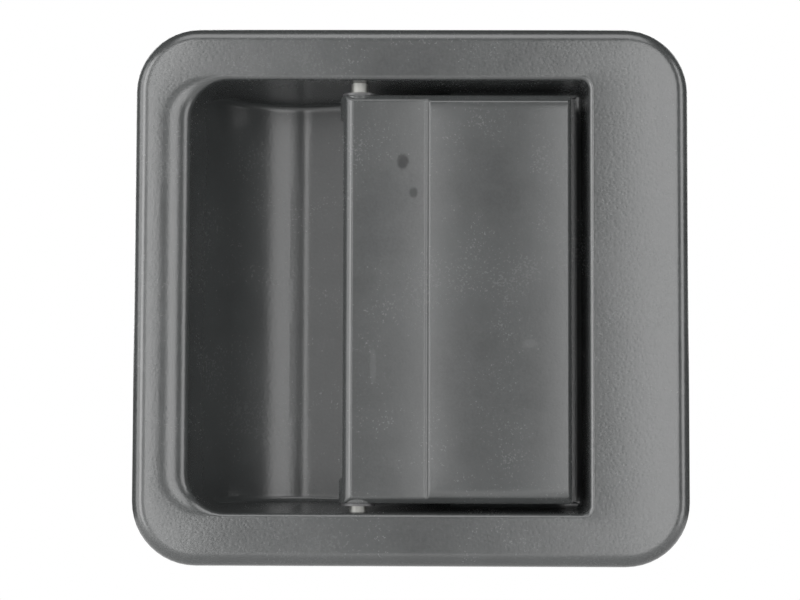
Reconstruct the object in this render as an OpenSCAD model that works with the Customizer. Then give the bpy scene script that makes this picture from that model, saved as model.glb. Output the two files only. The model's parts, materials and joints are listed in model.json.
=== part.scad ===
// Recessed pull handle for the outside of a car or van door.
// X points right, Y points into the door and Z points up, in millimetres.
// The origin is the middle of the plate, on the outer face of the door panel.
// The paddle turns on a vertical pin at its left edge. Its curved arm passes through
// the raised floor of the recess and pulls a bellcrank, which lifts the latch rod.

/* [Plate] */
// Width of the plate
plate_w = 130; // [122:1:170]
// Height of the plate
plate_h = 126; // [100:1:170]
// Distance of the plate's face from the door panel
face_h = 10; // [9.5:0.5:12]
// Radius of the plate's four corners
plate_corner_r = 15; // [10:1:20]
// Radius of the rounding around the plate's rim
rim_r = 3.5; // [1:0.5:4]
// Thickness of every moulded wall of the plate and recess
wall = 2.5; // [2:0.1:3]
// Thickness of the stiffening ribs behind the plate
rib_t = 1.6; // [1:0.1:2]

/* [Recess] */
// Width of the plate to the left of the recess
flank_left = 13; // [12:0.5:16]
// Width of the plate to the right of the recess
flank_right = 23.5; // [20:0.5:28]
// Width of the plate above and below the recess
flank_ends = 12.4; // [11:0.2:16]
// Radius of the rounded lip at the left of the recess
lip_r = 4; // [4:0.5:7]
// Depth of the recess at its deepest, from the plate's face
recess_depth = 28; // [26:0.5:32]
// Width of the curved left wall of the recess
scoop_w = 26; // [20:1:28]
// Rise of the recess floor for each millimetre towards the paddle
floor_slope = 0.208; // [0.1:0.002:0.22]
// Distance from the paddle's left edge to the step up to the raised floor
step_inset = 25; // [20:1:27]
// Depth of the raised floor under the paddle, from the plate's face
raised_depth = 14; // [14:0.5:15]
// Draft angle of the top and bottom walls
draft_angle = 4; // [2:0.5:8]
// Corner radius of the recess on its left side
recess_corner_left = 9; // [4:0.5:10]
// Corner radius of the recess on its right side
recess_corner_right = 2; // [1:0.5:4]

/* [Gasket and fixings] */
// Thickness of the foam gasket
gasket_t = 1.5; // [1:0.1:2]
// Distance that the gasket stays back from the plate's edge
gasket_margin = 0.8; // [0.4:0.1:1.5]
// Clearance around the recess where it passes through the gasket
gasket_gap = 2; // [1:0.1:2.5]
// Radius of the mounting studs
stud_r = 3; // [2.5:0.5:3]
// Distance between the two mounting studs
stud_spacing = 72; // [56:1:76]
// Length of the mounting studs behind the door panel
stud_length = 18; // [12:1:24]
// Thickness of the door panel that the hook lugs grip
panel_t = 1.2; // [0.8:0.1:1.6]
// Distance between the two hook lugs
lug_spacing = 60; // [48:1:64]

/* [Paddle] */
// Width of the paddle
paddle_w = 53.5; // [52:0.5:56]
// Gap between the paddle and the recess at the right
gap_right = 4; // [3:0.1:6]
// Gap above the paddle
gap_top = 3.3; // [2:0.1:4]
// Gap below the paddle
gap_bottom = 2.2; // [2:0.1:4]
// Depth of the paddle's left facet below the plate's face
facet_drop = 0.6; // [0.4:0.1:1]
// Height of the step between the paddle's two facets
facet_step = 0.4; // [0.2:0.1:0.4]
// Width of the paddle's left facet
facet_w = 20.1; // [16:0.5:24]
// Thickness of the paddle's skin
paddle_skin = 3; // [2.4:0.1:3.2]
// Thickness of the paddle's side walls
paddle_wall = 2.5; // [2:0.1:3]
// Chamfer on the paddle's top and bottom ends
end_chamfer = 1.4; // [0.6:0.1:1.8]
// Thickness of the steel plate inside the paddle
inner_plate_t = 2; // [1.5:0.1:2]
// Radius of the screws that hold the inner plate
plate_screw_r = 1.5; // [1.2:0.1:1.6]

/* [Hinge] */
// Radius of the hinge pin
hinge_pin_r = 2; // [1.5:0.1:2.2]
// Distance of the hinge pin from the paddle's left edge
hinge_inset = 3.7; // [3.5:0.1:4]
// Depth of the hinge pin below the plate's face
hinge_depth = 5.5; // [5.4:0.1:5.8]
// Outer radius of the hinge knuckles
knuckle_r = 4.5; // [4.2:0.1:4.6]
// Length of the hinge knuckles
knuckle_l = 5.8; // [5:0.2:7]
// Outer radius of the hinge bushes
bush_r = 3; // [2.8:0.1:3.1]
// Thickness of the hinge bushes' flanges
bush_flange_t = 0.6; // [0.4:0.1:0.8]
// Length of the pin that each wall of the recess holds
pin_grip = 7; // [5:0.5:7]
// Angle that the paddle swings outward
swing_angle = 20; // [16:1:20]

/* [Release arm] */
// Radius of the release arm's curve around the hinge
arm_r = 44; // [43:0.5:45]
// Width of the release arm along its radius
arm_w = 5; // [4:0.5:5]
// Thickness of the release arm
arm_t = 4; // [3:0.5:4]
// Height of the release arm's middle
arm_z = 8; // [8:0.5:10]
// Angle from the paddle to the hook pin, around the hinge
hook_angle = 49; // [48:0.5:50]
// Radius of the hook pin
hook_pin_r = 3; // [2.5:0.1:3]

/* [Bellcrank] */
// Length of the arm that the hook pin pulls
peg_arm = 24; // [23:0.5:25]
// Length of the arm that holds the rod clip
rod_arm = 20; // [18:0.5:24]
// Thickness of the bellcrank's plate
lever_t = 3; // [2.5:0.1:3]
// Radius of the peg
peg_r = 2.5; // [2:0.1:2.5]
// Radius of the bellcrank's pivot pin
pivot_pin_r = 3; // [2.5:0.1:3]
// Outer radius of the bellcrank's hub
hub_r = 5.5; // [5:0.1:5.5]
// Wall of the acetal bush in the hub
lever_bush_wall = 1; // [0.8:0.1:1.2]
// Radius of the latch rod that the clip holds
rod_r = 2; // [1.5:0.1:2]
// Outer radius of the rod clip's bush
clip_bush_r = 3.95; // [3.6:0.05:4]
// Radius of the return spring's wire
spring_wire_r = 0.55; // [0.4:0.05:0.6]

/* [Bracket] */
// Thickness of the bracket's sheet
bracket_t = 2; // [1.5:0.1:2]
// Width of the bracket's ears
ear_w = 14; // [12:0.5:15]
// Radius of the bracket screws
bracket_screw_r = 2; // [1.5:0.1:2]
// Distance between the bracket screws
bracket_screw_spacing = 14; // [12:0.5:15]

/* [Clearances] */
// Radial clearance of a pin in a bush
running_gap = 0.05; // [0.02:0.01:0.09]
// Side clearance between parts that slide past each other
side_gap = 0.2; // [0.15:0.05:0.3]
// Clearance between the hook pin and the peg when the paddle is closed
hook_gap = 0.15; // [0.1:0.05:0.3]
// Clearance between the release arm and its guide
guide_gap = 0.3; // [0.3:0.05:0.4]

/* [Hidden] */
$fn = 64;
over = 1;                       // how far a cut runs past the face that it opens

// Plate and recess, with the plate's face at face_y
face_y = -face_h;
seat_y = -gasket_t;
plate_x = plate_w / 2;
plate_z = plate_h / 2;
open_left = -plate_x + flank_left;
open_right = plate_x - flank_right;
open_z = plate_z - flank_ends;
lip_y = face_y + lip_r;
scoop_end = open_left + scoop_w;
scoop_depth = recess_depth - lip_r;
deep_y = face_y + recess_depth;
raised_y = face_y + raised_depth;
raised_back = raised_y + wall;

// Paddle
paddle_right = open_right - gap_right;
paddle_left = paddle_right - paddle_w;
paddle_top = open_z - gap_top;
paddle_bottom = -open_z + gap_bottom;
facet_y = face_y + facet_drop;
raised_facet_y = facet_y - facet_step;
facet_x = paddle_left + facet_w;
inner_plate_back = 1;           // the inner plate's rear face, just inside the door panel
rest_y = inner_plate_back - inner_plate_t;
bar_w = 10.5;                   // solid bar of the paddle around the hinge pin
step_x = paddle_left + step_inset;

// Hinge axis
hinge_x = paddle_left + hinge_inset;
hinge_y = face_y + hinge_depth;
plate_left = hinge_x + knuckle_r + 0.3;

// Hook pin and bellcrank, closed and fully pulled
hook_x = hinge_x + arm_r * cos(hook_angle);
hook_y = hinge_y + arm_r * sin(hook_angle);
hook_out_x = hinge_x + arm_r * cos(hook_angle - swing_angle);
hook_out_y = hinge_y + arm_r * sin(hook_angle - swing_angle);
peg_travel = hook_y - hook_out_y;
lever_angle = asin(peg_travel / (2 * peg_arm));
pivot_y = (hook_y + hook_out_y) / 2 - hook_pin_r - peg_r - hook_gap;
pivot_z = -24;
lever_x = hook_out_x + hook_pin_r + 2.3;
hub_x0 = lever_x - 1;
hub_x1 = lever_x + 8.2;
hub_bore_r = pivot_pin_r + running_gap + lever_bush_wall;
clip_hole_r = clip_bush_r + running_gap;
tip_y = pivot_y + rod_arm * cos(lever_angle);
tip_z = pivot_z - rod_arm * sin(lever_angle);
peg_x0 = hook_x - hook_pin_r;

// Bracket
ear_left = hub_x0 - side_gap - bracket_t;
ear_right = hub_x1 + side_gap;
bracket_left = step_x + wall + 1.5;
bracket_screw_x = ear_left - 8.3;
bracket_back = raised_back + bracket_t;
insert_r = bracket_screw_r + 0.8;
insert_l = wall + 1.7;
washer_t = 0.9;

// Arm guide in the raised floor
slot_in = hinge_x + sqrt(pow(arm_r - arm_w / 2, 2) - pow(raised_back + 2 - hinge_y, 2));
slot_out = hinge_x + sqrt(pow(arm_r + arm_w / 2, 2) - pow(raised_y - hinge_y, 2));
guide_wall = 0.9;
guide_z = arm_t / 2 + guide_gap;

// Arm foot
foot_t = 1.8;
foot_x0 = slot_in - 1.6;
foot_x1 = paddle_right - 1.6;
foot_screw_x = (foot_x0 + foot_x1) / 2;
foot_z = 12;                    // half the foot's height
foot_screw_z = 8.5;             // distance of each arm screw from the arm's middle
arm_screw_r = 2;
arm_start = asin((inner_plate_back + 0.1 - hinge_y) / (arm_r - arm_w / 2));

// Small fixings
bump_x = paddle_right - 4.6;
bump_z = paddle_top - 7.3;
bump_r = 4;
bump_stem_r = 2;
bump_skin = 0.7;                // floor left behind the stops' stems
plate_screws = [for (x = [paddle_left + 16, paddle_right - 12.6], z = [-1, 1])
    [x, (paddle_top + paddle_bottom) / 2 + z * ((paddle_top - paddle_bottom) / 2 - 11.8)]];
arm_screws_at = [for (z = [-1, 1]) [foot_screw_x, arm_z + z * foot_screw_z]];
bracket_screws_at = [for (z = [-1, 1])
    [bracket_screw_x, pivot_z + z * bracket_screw_spacing / 2]];
studs_at = [for (z = [-1, 1]) [(open_right + wall + plate_x) / 2 - 1.25, z * stud_spacing / 2]];
stud_head_r = 5.5;
stud_head_t = 2;
stud_boss_r = 7;
stud_shoulder_r = stud_r + 0.6;
stud_shoulder_end = -0.3;
lug_play = 0.9;

// Colours
plastic_black = [0.16, 0.165, 0.165];
foam_black = [0.1, 0.1, 0.1];
steel_zinc = [0.72, 0.72, 0.7];
steel_spring = [0.5, 0.52, 0.55];
brass = [0.78, 0.62, 0.3];
acetal_white = [0.88, 0.87, 0.82];
rubber_black = [0.08, 0.08, 0.08];

// ---------- shapes used by several parts ----------

// Extrudes an outline drawn in X and Z along Y, from y0 to y1
module along_y(y0, y1) {
    translate([0, y1, 0]) rotate([90, 0, 0]) linear_extrude(y1 - y0) children();
}

// Extrudes an outline drawn in Y and Z along X, from x0 to x1
module along_x(x0, x1) {
    translate([x0, 0, 0]) rotate([90, 0, 90]) linear_extrude(x1 - x0) children();
}

// Extrudes an outline drawn in X and Y along Z, from z0 to z1
module along_z(z0, z1) {
    translate([0, 0, z0]) linear_extrude(z1 - z0) children();
}

// A straight round bar along each axis, and a cone along Y
module rod_x(at, r, x0, x1) {
    translate([x0, at[0], at[1]]) rotate([0, 90, 0]) cylinder(h = x1 - x0, r = r);
}
module rod_y(at, r, y0, y1, sides = 64) {
    translate([at[0], y1, at[1]]) rotate([90, 0, 0]) cylinder(h = y1 - y0, r = r, $fn = sides);
}
module rod_z(at, r, z0, z1) {
    translate([at[0], at[1], z0]) cylinder(h = z1 - z0, r = r);
}
module cone_y(at, r0, r1, y0, y1) {
    translate([at[0], y1, at[1]]) rotate([90, 0, 0]) cylinder(h = y1 - y0, r1 = r1, r2 = r0);
}

// A block between two corners
module block(low, high) {
    translate(low) cube(high - low);
}

// Points on an arc, from angle a0 to a1
function arc(cx, cy, rx, ry, a0, a1, steps) =
    [for (i = [0:steps]) let(a = a0 + (a1 - a0) * i / steps) [cx + rx * cos(a), cy + ry * sin(a)]];

// Outline of a rectangle with its own corner radius at the left and at the right
function round_rect(x0, x1, z0, z1, r_left, r_right) = concat(
    arc(x1 - r_right, z1 - r_right, r_right, r_right, 0, 90, 8),
    arc(x0 + r_left, z1 - r_left, r_left, r_left, 90, 180, 8),
    arc(x0 + r_left, z0 + r_left, r_left, r_left, 180, 270, 8),
    arc(x1 - r_right, z0 + r_right, r_right, r_right, 270, 360, 8));

// Places a shape drawn with its pivot at the origin, peg arm up and rod arm back,
// at the bellcrank's pivot in its closed position
module at_lever() {
    translate([0, pivot_y, pivot_z]) rotate([-lever_angle, 0, 0]) children();
}

// ---------- housing ----------

// Height profile of the plate at its rim: distance from the corner's centre, and height
function rim_half(reach) = concat([[reach, gasket_t]],
    arc(reach - rim_r, face_h - rim_r, rim_r, rim_r, 0, 90, 6));

// Solid plate with a rounded rim: two crossing slabs and four turned corners
module plate_solid() {
    across_x = plate_x - plate_corner_r;
    across_z = plate_z - plate_corner_r;
    profile_x = [for (p = rim_half(plate_x)) [p[0], -p[1]]];
    profile_z = [for (p = rim_half(plate_z)) [-p[1], p[0]]];
    along_z(-across_z, across_z)
        polygon(concat(profile_x, [for (i = [len(profile_x) - 1:-1:0])
            [-profile_x[i][0], profile_x[i][1]]]));
    along_x(-across_x, across_x)
        polygon(concat(profile_z, [for (i = [len(profile_z) - 1:-1:0])
            [profile_z[i][0], -profile_z[i][1]]]));
    for (corner = [[1, 1, 0], [-1, 1, 90], [-1, -1, 180], [1, -1, 270]])
        translate([corner[0] * across_x, 0, corner[1] * across_z])
            rotate([90, 0, 0]) rotate([0, 0, corner[2]]) rotate_extrude(angle = 90)
                polygon(concat([[0, gasket_t]], rim_half(plate_corner_r), [[0, face_h]]));
}

// Half the recess's height at a given y, measured inside its drafted walls
function recess_z(y) = open_z - (y - face_y) * tan(draft_angle);

// Side outline of the recess: the curved wall, the sloping floor, the step and the
// raised floor. grow moves it outward by a wall's thickness
module recess_profile(grow, top) {
    floor_end_y = deep_y - (step_x + grow - scoop_end) * floor_slope + grow;
    polygon(concat(
        [[open_left - grow, top]],
        [for (p = arc(0, 0, scoop_w + grow, scoop_depth + grow, 180, 90, 12))
            [scoop_end + p[0], lip_y + p[1]]],
        [[step_x + grow, floor_end_y], [step_x + grow, raised_y + grow],
         [open_right + grow, raised_y + grow], [open_right + grow, top]]));
}

// The recess as a solid, drafted at its top and bottom and rounded at its corners
module recess_solid(grow, top) {
    bottom = deep_y + grow + over;
    intersection() {
        along_z(-open_z - grow - over, open_z + grow + over) recess_profile(grow, top);
        along_x(open_left - grow - over, open_right + grow + over) polygon([
            [top, recess_z(top) + grow], [bottom, recess_z(bottom) + grow],
            [bottom, -recess_z(bottom) - grow], [top, -recess_z(top) - grow]]);
        along_y(top - over, bottom + over) polygon(round_rect(
            open_left - grow, open_right + grow, -open_z - grow - over, open_z + grow + over,
            recess_corner_left + grow, recess_corner_right + grow));
    }
}

// Hollow behind the plate's face
module plate_pocket() {
    along_y(face_y + wall, over) polygon(round_rect(-plate_x + wall, plate_x - wall,
        -plate_z + wall, plate_z - wall, plate_corner_r - wall, plate_corner_r - wall));
}

// Quarter ring that carries the rounded lip at the left of the recess
module lip_ring(z_reach) {
    along_z(-z_reach, z_reach) intersection() {
        translate([open_left - lip_r, lip_y]) difference() {
            circle(lip_r);
            circle(lip_r - wall);
        }
        translate([open_left - lip_r, face_y]) square(lip_r);
    }
}

// Material outside the rounded lip, which is cut away
module lip_cut(z_reach) {
    along_z(-z_reach, z_reach) difference() {
        translate([open_left - lip_r, face_y - over]) square([lip_r + over, lip_r + over]);
        translate([open_left - lip_r, lip_y]) circle(lip_r);
    }
}

// Blocks that hold the hinge pin's ends, above and below the recess
module pin_bosses() {
    boss_x = knuckle_r;
    for (side = [-1, 1]) {
        z0 = open_z;
        z1 = open_z + pin_grip + 1.5;
        block([hinge_x - boss_x, face_y + wall / 2, side > 0 ? z0 : -z1],
              [hinge_x + boss_x, seat_y, side > 0 ? z1 : -z0]);
    }
}

// Ribs between the recess and the plate's rim
module ribs() {
    low = face_y + wall / 2;
    end_x = [open_left + 12, (hinge_x + step_x) / 2 + 8, open_right - 8];
    for (x = end_x, side = [-1, 1])
        block([x - rib_t / 2, low, side > 0 ? open_z + wall / 2 : -plate_z + wall / 2],
              [x + rib_t / 2, seat_y, side > 0 ? plate_z - wall / 2 : -open_z - wall / 2]);
    for (z = [-1, 0, 1] * lug_spacing / 2)
        block([-plate_x + wall / 2, low, z - rib_t / 2],
              [open_left - wall / 2, seat_y, z + rib_t / 2]);
    for (z = [-1, 1] * stud_spacing / 4)
        block([open_right + wall / 2, low, z - rib_t / 2],
              [plate_x - wall / 2, seat_y, z + rib_t / 2]);
}

// Two lugs that hook behind the left edge of the cut-out in the door panel
module hook_lugs() {
    reach = 5.5;
    thick = 3.2;
    lug_half = 6;
    root = open_left - 0.2;
    tip = open_left - wall - reach;
    front = panel_t + lug_play;
    for (z = [-1, 1] * lug_spacing / 2)
        along_z(z - lug_half, z + lug_half) polygon([
            [tip, front], [tip, front + thick / 2], [tip + thick / 2, front + thick],
            [root, front + thick], [root, front]]);
}

// Head and shoulder of the mounting studs, also used to cut their seats
module stud_root(end_y) {
    for (at = studs_at) {
        rod_y(at, stud_head_r, face_y + wall + 1, face_y + wall + 1 + stud_head_t, 6);
        rod_y(at, stud_shoulder_r, face_y + wall + 2, end_y);
    }
}

module housing() {
    insert_front = raised_back - insert_l - 0.5;
    color(plastic_black) difference() {
        union() {
            difference() {
                plate_solid();
                plate_pocket();
            }
            recess_solid(wall, face_y + wall / 2);
            lip_ring(open_z - recess_corner_left);
            pin_bosses();
            ribs();
            hook_lugs();
            for (at = studs_at) rod_y(at, stud_boss_r, face_y + wall / 2, seat_y);
        }
        difference() {
            recess_solid(0, face_y - over);
            for (at = bracket_screws_at) rod_y(at, insert_r + 1.6, insert_front, raised_back);
        }
        lip_cut(open_z - recess_corner_left);
        stud_root(over);
        for (side = [-1, 1])
            rod_z([hinge_x, hinge_y], hinge_pin_r,
                side > 0 ? open_z - over : -open_z - pin_grip,
                side > 0 ? open_z + pin_grip : -open_z + over);
        rod_z([hinge_x, hinge_y], hinge_pin_r + side_gap, -plate_z - over, -open_z - pin_grip);
        for (at = bracket_screws_at)
            rod_y(at, insert_r, raised_back - insert_l, raised_back + over);
        for (z = [-1, 1])
            rod_y([bump_x, z * bump_z], bump_stem_r, raised_y - over, raised_back - bump_skin);
        block([slot_in - guide_gap - guide_wall, raised_y - over, arm_z - guide_z - guide_wall],
              [slot_out + guide_gap + guide_wall, raised_back + over,
               arm_z + guide_z + guide_wall]);
    }
}

module gasket() {
    reach = plate_w / 2 - gasket_margin;
    gasket_corner = plate_corner_r - gasket_margin;
    color(foam_black) difference() {
        along_y(seat_y, 0) polygon(round_rect(-reach, reach, -plate_z + gasket_margin,
            plate_z - gasket_margin, gasket_corner, gasket_corner));
        along_y(seat_y - over, over) polygon(round_rect(
            open_left - wall - gasket_gap, open_right + wall + gasket_gap,
            -open_z - wall - gasket_gap, open_z + wall + gasket_gap,
            recess_corner_left + wall, recess_corner_right + wall));
        for (at = studs_at) rod_y(at, stud_shoulder_r + 0.6, seat_y - over, over);
    }
}

module mounting_studs() {
    color(steel_zinc) {
        stud_root(stud_shoulder_end);
        for (at = studs_at) rod_y(at, stud_r, seat_y, stud_length);
    }
}

module hinge_pin() {
    color(steel_zinc)
        rod_z([hinge_x, hinge_y], hinge_pin_r, -open_z - pin_grip, open_z + pin_grip);
}

// Rubber buttons pressed into pockets of the raised floor under the paddle's right edge
module bump_stops() {
    color(rubber_black) for (z = [-1, 1] * bump_z) {
        rod_y([bump_x, z], bump_r, inner_plate_back + side_gap, raised_y);
        rod_y([bump_x, z], bump_stem_r, raised_y - over / 2, raised_back - bump_skin);
    }
}

// Liner of the slot that the release arm passes through, with a flange behind the floor
module arm_guide() {
    flange = 1;
    x0 = slot_in - guide_gap;
    x1 = slot_out + guide_gap;
    color(acetal_white) difference() {
        union() {
            block([x0 - guide_wall, raised_y, arm_z - guide_z - guide_wall],
                  [x1 + guide_wall, raised_back, arm_z + guide_z + guide_wall]);
            block([x0 - guide_wall - flange, raised_back, arm_z - guide_z - guide_wall - flange],
                  [x1 + guide_wall + flange, raised_back + 1.2,
                   arm_z + guide_z + guide_wall + flange]);
        }
        block([x0, raised_y - over, arm_z - guide_z], [x1, raised_back + over + 1.2,
            arm_z + guide_z]);
    }
}

module threaded_inserts() {
    color(brass) for (at = bracket_screws_at) difference() {
        rod_y(at, insert_r, raised_back - insert_l, raised_back);
        rod_y(at, bracket_screw_r, raised_back - insert_l - over, raised_back + over);
    }
}

// ---------- bracket and bellcrank pivot ----------

module lever_bracket() {
    base_half = 12.5;
    color(steel_zinc) difference() {
        union() {
            block([bracket_left, raised_back, pivot_z - base_half],
                  [ear_right + bracket_t, bracket_back, pivot_z + base_half]);
            for (x = [ear_left, ear_right]) {
                block([x, raised_back, pivot_z - ear_w / 2],
                      [x + bracket_t, pivot_y, pivot_z + ear_w / 2]);
                rod_x([pivot_y, pivot_z], ear_w / 2, x, x + bracket_t);
            }
        }
        rod_x([pivot_y, pivot_z], pivot_pin_r, ear_left - over, ear_right + bracket_t + over);
        for (at = bracket_screws_at)
            rod_y(at, bracket_screw_r + side_gap, raised_back - over, bracket_back + over);
    }
}

module bracket_screws() {
    head_y = bracket_back + washer_t;
    head_t = 2.6;
    color(steel_zinc) for (at = bracket_screws_at) difference() {
        union() {
            rod_y(at, bracket_screw_r, raised_back - insert_l + 0.3, head_y);
            rod_y(at, bracket_screw_r * 1.8, head_y, head_y + head_t);
        }
        rod_y(at, bracket_screw_r * 0.75, head_y + head_t - 1.6, head_y + head_t + over, 6);
    }
}

module bracket_washers() {
    color(steel_spring) for (at = bracket_screws_at) difference() {
        rod_y(at, bracket_screw_r * 1.85, bracket_back, bracket_back + washer_t);
        rod_y(at, bracket_screw_r, bracket_back - over, bracket_back + washer_t + over);
    }
}

// Pivot pin with a head at the left and a groove for the clip at the right
pin_head_t = 1.5;
groove_x = ear_right + bracket_t + side_gap;
clip_t = 0.8;
groove_depth = 0.7;
module pivot_pin() {
    at = [pivot_y, pivot_z];
    color(steel_zinc) difference() {
        union() {
            rod_x(at, pivot_pin_r + 2, ear_left - pin_head_t, ear_left);
            rod_x(at, pivot_pin_r, ear_left, groove_x + clip_t + 0.7);
        }
        difference() {
            rod_x(at, pivot_pin_r + over, groove_x, groove_x + clip_t);
            rod_x(at, pivot_pin_r - groove_depth, groove_x - over, groove_x + clip_t + over);
        }
    }
}

module pivot_clip() {
    at = [pivot_y, pivot_z];
    mouth = (pivot_pin_r - groove_depth) * 0.8;
    color(steel_spring) difference() {
        rod_x(at, pivot_pin_r + 2, groove_x, groove_x + clip_t);
        rod_x(at, pivot_pin_r - groove_depth, groove_x - over, groove_x + clip_t + over);
        block([groove_x - over, pivot_y, pivot_z - mouth],
              [groove_x + clip_t + over, pivot_y + pivot_pin_r + 2 + over, pivot_z + mouth]);
    }
}

// Return spring: its coils as one ring round the hub, and its two legs
spring_in_r = hub_r + 0.3;
spring_out_r = spring_in_r + 4 * spring_wire_r;
spring_x0 = lever_x + lever_t + 0.35;
spring_x1 = hub_x1 - side_gap;
module return_spring() {
    leg_at = (spring_in_r + spring_out_r) / 2;
    hook_z = 13;
    bar_y = -3.5 - spring_wire_r - 0.15;
    lean = atan2(leg_at + bar_y, hook_z);
    leg_x = spring_x0 + spring_wire_r;
    base_leg_x = spring_x1 - spring_wire_r;
    color(steel_spring) {
        difference() {
            rod_x([pivot_y, pivot_z], spring_out_r, spring_x0, spring_x1);
            rod_x([pivot_y, pivot_z], spring_in_r, spring_x0 - over, spring_x1 + over);
        }
        at_lever() {
            translate([leg_x, -leg_at, 0]) rotate([-lean, 0, 0])
                cylinder(h = hook_z / cos(lean), r = spring_wire_r);
            rod_x([bar_y, hook_z], spring_wire_r, lever_x - 0.4, leg_x + spring_wire_r);
        }
        rod_y([base_leg_x, pivot_z - leg_at], spring_wire_r, bracket_back, pivot_y);
    }
}

// ---------- paddle ----------

// Section of the paddle across the hinge: rounded left edge, two facets and a chamfer
module paddle_profile() {
    left_r = 2.5;
    back_r = 1;
    right_c = 1.1;
    polygon(concat(
        arc(paddle_left + left_r, facet_y + left_r, left_r, left_r, 180, 270, 8),
        [[facet_x - facet_step, facet_y], [facet_x + facet_step, raised_facet_y]],
        [[paddle_right - right_c, raised_facet_y], [paddle_right, raised_facet_y + right_c * 1.5],
            [paddle_right, rest_y]],
        arc(paddle_left + back_r, rest_y - back_r, back_r, back_r, 90, 180, 4)));
}

// Side view of the paddle with its chamfered ends
module paddle_ends() {
    front = raised_facet_y - over;
    cut = end_chamfer + over;
    polygon([[front, paddle_bottom + cut], [front + cut, paddle_bottom],
        [rest_y + over, paddle_bottom], [rest_y + over, paddle_top],
        [front + cut, paddle_top], [front, paddle_top - cut]]);
}

// The two knuckles' lower and upper ends
knuckles = [[paddle_bottom, paddle_bottom + knuckle_l], [paddle_top - knuckle_l, paddle_top]];

module paddle_shell() {
    skin_back = facet_y + paddle_skin;
    axis = [hinge_x, hinge_y];
    plate_boss_r = plate_screw_r + 1.8;
    arm_boss_r = arm_screw_r + 1.8;
    rib_z = [-1, 1] * paddle_top / 3;
    color(plastic_black) difference() {
        union() {
            difference() {
                intersection() {
                    along_z(paddle_bottom, paddle_top) paddle_profile();
                    along_x(paddle_left - over, paddle_right + over) paddle_ends();
                }
                block([paddle_left + bar_w, skin_back, paddle_bottom + paddle_wall],
                      [paddle_right - paddle_wall, rest_y + over, paddle_top - paddle_wall]);
            }
            for (z = knuckles) rod_z(axis, knuckle_r, z[0], z[1]);
            for (at = plate_screws) rod_y(at, plate_boss_r, skin_back - 0.5, rest_y);
            for (at = arm_screws_at) rod_y(at, arm_boss_r, skin_back - 0.5, rest_y);
            for (z = rib_z)
                block([paddle_left + bar_w - 0.5, skin_back - 0.5, z - rib_t / 2],
                      [paddle_right - paddle_wall + 0.5, rest_y, z + rib_t / 2]);
        }
        rod_z(axis, hinge_pin_r + 0.5, paddle_bottom - over, paddle_top + over);
        rod_z(axis, bush_r, knuckles[0][0] - over, knuckles[0][1]);
        rod_z(axis, bush_r, knuckles[1][0], knuckles[1][1] + over);
        for (at = plate_screws) rod_y(at, plate_screw_r, skin_back, rest_y + over);
        for (at = arm_screws_at) rod_y(at, arm_screw_r, skin_back, rest_y + over);
    }
}

csk_depth = 1.5;
module paddle_inner_plate() {
    inset = 1;
    color(steel_zinc) difference() {
        along_y(rest_y, inner_plate_back) polygon(round_rect(plate_left, paddle_right - inset,
            paddle_bottom + inset, paddle_top - inset, 3, 3));
        for (at = plate_screws) {
            rod_y(at, plate_screw_r, rest_y - over, inner_plate_back + over);
            cone_y(at, plate_screw_r, plate_screw_r * 2, inner_plate_back - csk_depth,
                inner_plate_back);
        }
        for (at = arm_screws_at)
            rod_y(at, arm_screw_r, rest_y - over, inner_plate_back + over);
    }
}

// A countersunk screw along Y with its head at the back
module csk_screw(at, r, head_r, tip_y, head_y, depth) {
    difference() {
        union() {
            rod_y(at, r, tip_y, head_y - depth);
            cone_y(at, r, head_r, head_y - depth, head_y);
        }
        rod_y(at, r * 0.6, head_y - depth * 0.7, head_y + over, 6);
    }
}

module paddle_screws() {
    color(steel_zinc) for (at = plate_screws)
        csk_screw(at, plate_screw_r, plate_screw_r * 2, facet_y + paddle_skin + 0.3,
            inner_plate_back, csk_depth);
}

// Flanged bushes in the knuckles
module hinge_bushes() {
    bore = hinge_pin_r + running_gap;
    axis = [hinge_x, hinge_y];
    flange_r = bush_r + 1;
    color(plastic_black) {
        difference() {
            union() {
                rod_z(axis, bush_r, knuckles[1][0], knuckles[1][1]);
                rod_z(axis, flange_r, paddle_top, paddle_top + bush_flange_t);
            }
            rod_z(axis, bore, knuckles[1][0] - over, paddle_top + over);
        }
        difference() {
            union() {
                rod_z(axis, bush_r, knuckles[0][0], knuckles[0][1]);
                rod_z(axis, flange_r, paddle_bottom - bush_flange_t, paddle_bottom);
            }
            rod_z(axis, bore, paddle_bottom - over, knuckles[0][1] + over);
        }
    }
}

// Curved arm with its foot and the eye that holds the hook pin
module release_arm() {
    z0 = arm_z - arm_t / 2;
    foot_back = inner_plate_back + foot_t;
    color(steel_zinc) difference() {
        union() {
            translate([hinge_x, hinge_y, z0]) rotate([0, 0, arm_start])
                rotate_extrude(angle = hook_angle - arm_start)
                    translate([arm_r - arm_w / 2, 0]) square([arm_w, arm_t]);
            rod_z([hook_x, hook_y], hook_pin_r + 2, z0, z0 + arm_t);
            block([foot_x0, inner_plate_back, arm_z - foot_z],
                  [foot_x1, foot_back, arm_z + foot_z]);
        }
        rod_z([hook_x, hook_y], hook_pin_r, z0 - over, z0 + arm_t + over);
        for (at = arm_screws_at)
            cone_y(at, arm_screw_r, arm_screw_r * 1.9, inner_plate_back, foot_back);
    }
}

module arm_screws() {
    color(steel_zinc) for (at = arm_screws_at)
        csk_screw(at, arm_screw_r, arm_screw_r * 1.9, facet_y + paddle_skin + 0.3,
            inner_plate_back + foot_t, foot_t);
}

module hook_pin() {
    top = arm_z + arm_t / 2;
    below_peg = -5;
    color(steel_zinc) {
        rod_z([hook_x, hook_y], hook_pin_r, below_peg, top);
        rod_z([hook_x, hook_y], hook_pin_r + 1.2, top, top + 1.2);
    }
}

// ---------- bellcrank ----------

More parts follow.
